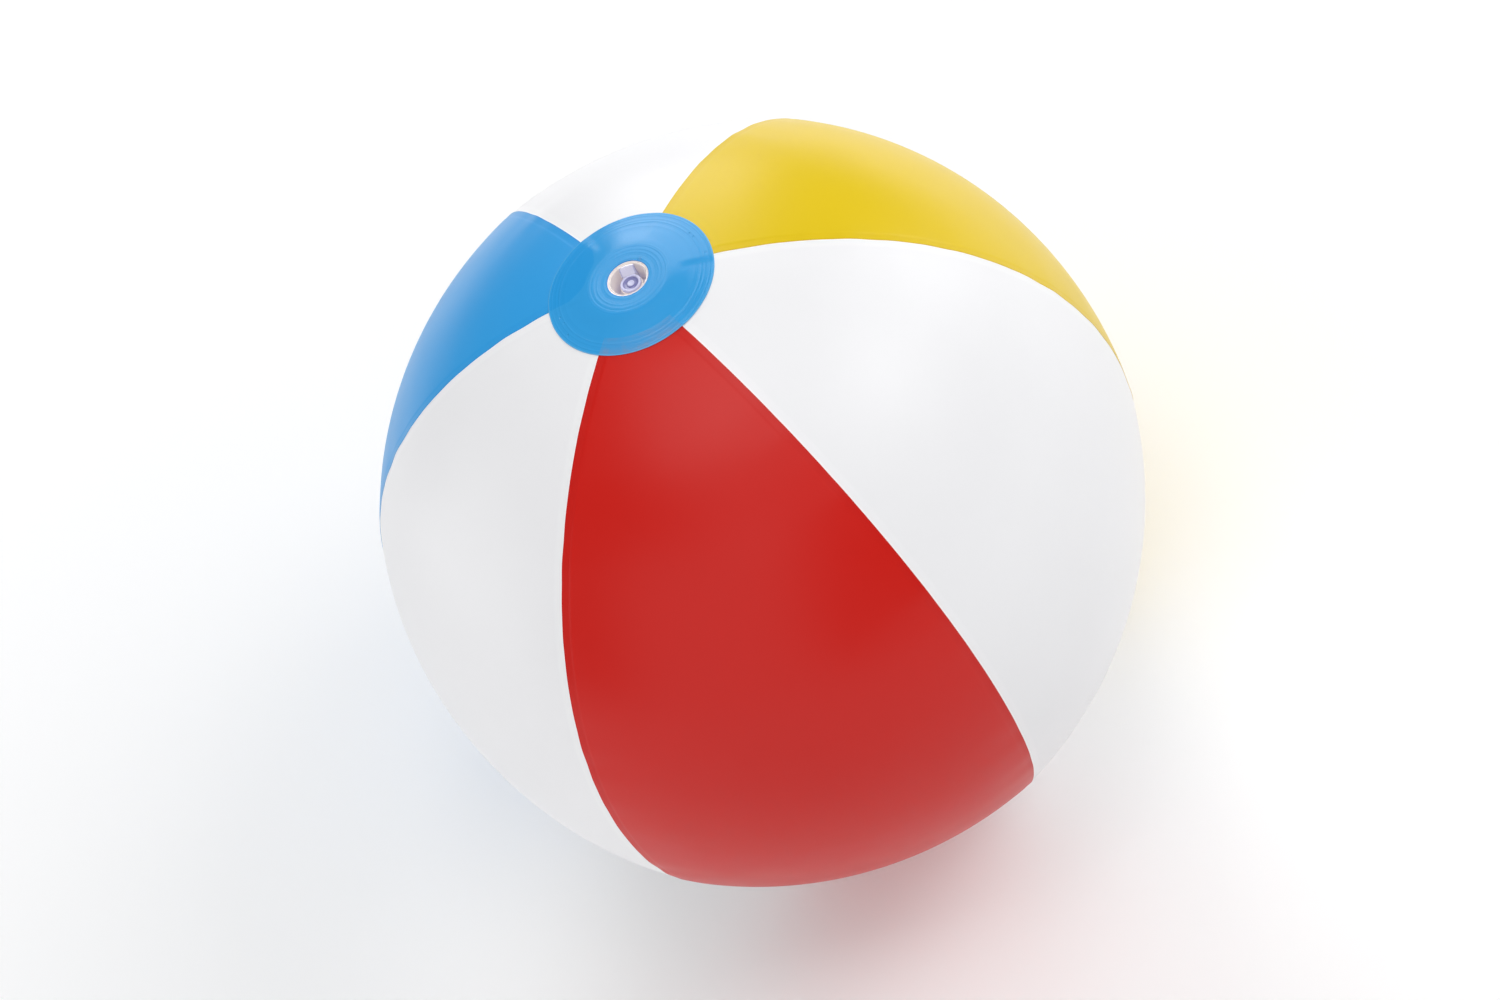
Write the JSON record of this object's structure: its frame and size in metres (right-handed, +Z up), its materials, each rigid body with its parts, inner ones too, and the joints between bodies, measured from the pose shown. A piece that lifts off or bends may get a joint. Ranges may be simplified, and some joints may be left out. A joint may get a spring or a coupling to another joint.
{
  "type": "inflatable beach ball",
  "caption": "Inflated ball of curved film gores in red, white, yellow and blue, with a round disc welded over each pole and a push-in air valve with its stopper in the upper disc.",
  "frame": {"origin": "centre of the flat patch that the ball stands on, at the bottom of its base disc", "axes": "+Z up along the polar axis, through both discs to the valve; the red gore faces -Y, and the stopper's strap is on the +Y side of the valve"},
  "size_m": [0.3412, 0.3365, 0.3353],
  "materials": {
    "red_film": "glossy vinyl film",
    "white_film": "glossy vinyl film",
    "yellow_film": "glossy vinyl film",
    "blue_film": "glossy vinyl film",
    "blue_disc_film": "glossy translucent vinyl film",
    "clear_plastic": "glossy soft clear vinyl"
  },
  "bodies": {
    "ball": {"gore_red": "red_film", "gore_white_right": "white_film", "gore_yellow": "yellow_film", "gore_white_back": "white_film", "gore_blue": "blue_film", "gore_white_left": "white_film", "valve_disc": "blue_disc_film", "base_disc": "blue_disc_film", "valve_flange": "clear_plastic", "valve_collar": "clear_plastic"},
    "valve": {"valve_stem": "clear_plastic", "stopper_strap": "clear_plastic"},
    "stopper": {"stopper": "clear_plastic"},
    "check_flap": {"check_flap": "clear_plastic"}
  },
  "joints": [
    {"name": "valve_pull", "type": "slide", "parent": "ball", "child": "valve", "axis": [0, 0, 1], "range_m": [0, 0.0205], "deforming": ["valve_collar"]},
    {"name": "stopper_swing", "type": "hinge", "parent": "valve", "child": "stopper", "pos_m": [0, 0.00635, 0.33422], "axis": [-1, 0, 0], "range_deg": [0, 140]},
    {"name": "flap_swing", "type": "hinge", "parent": "valve", "child": "check_flap", "pos_m": [0, 0.0048, 0.31682], "axis": [1, 0, 0], "range_deg": [0, 60], "stiffness_Nm_per_rad": 0.0002, "springref_deg": -11.46}
  ]
}
